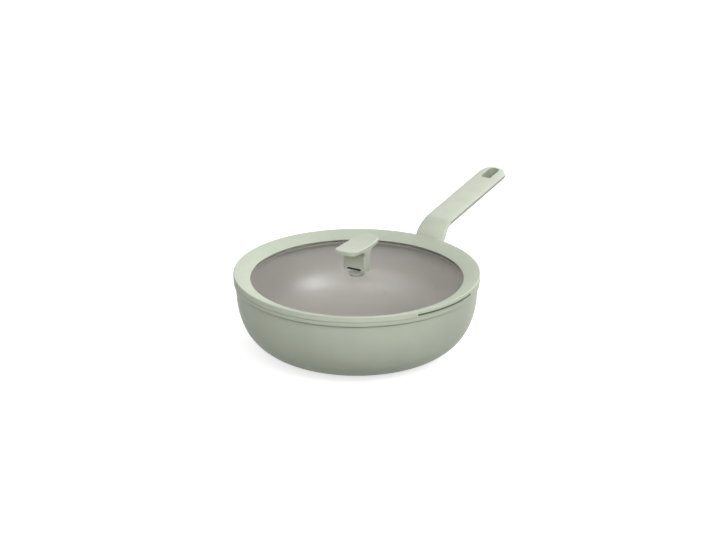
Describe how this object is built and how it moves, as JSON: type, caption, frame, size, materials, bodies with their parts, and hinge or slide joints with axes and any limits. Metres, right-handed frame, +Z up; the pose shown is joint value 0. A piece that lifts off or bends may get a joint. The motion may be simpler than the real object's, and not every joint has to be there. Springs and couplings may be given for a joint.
{
  "type": "wok with lid",
  "caption": "Deep round wok with a flat base and one long bent handle, covered by a domed glass lid with a wide silicone rim, straining slits and a T-shaped knob.",
  "frame": {"origin": "on the bowl's axis, at the underside of the base where the wok rests", "axes": "+Z up along the bowl's axis, +X along the handle away from the bowl"},
  "size_m": [0.4606, 0.295, 0.1438],
  "materials": {
    "bowl": "satin sage ceramic coat",
    "base_steel": "brushed",
    "handle_soft_touch": "sage soft touch",
    "knob_soft_touch": "sage soft touch",
    "rim_silicone": "matte sage silicone",
    "gasket_silicone": "matte",
    "lid_glass": "clear tempered",
    "insert_brass": "turned",
    "fixing_steel": "plated"
  },
  "bodies": {
    "pan": {"wok_body": "bowl", "induction_plate": "base_steel", "handle": "handle_soft_touch", "lug_thread_insert": "fixing_steel", "handle_screw": "fixing_steel", "handle_lock_washer": "fixing_steel"},
    "lid": {"lid_glass": "lid_glass", "lid_rim": "rim_silicone", "knob": "knob_soft_touch", "knob_insert": "insert_brass", "upper_gasket": "gasket_silicone", "lower_gasket": "gasket_silicone", "cup_washer": "fixing_steel", "knob_screw": "fixing_steel"}
  },
  "joints": [
    {"name": "lid_lift", "type": "slide", "parent": "pan", "child": "lid", "axis": [0, 0, 1], "range_m": [0, 0.15]}
  ]
}
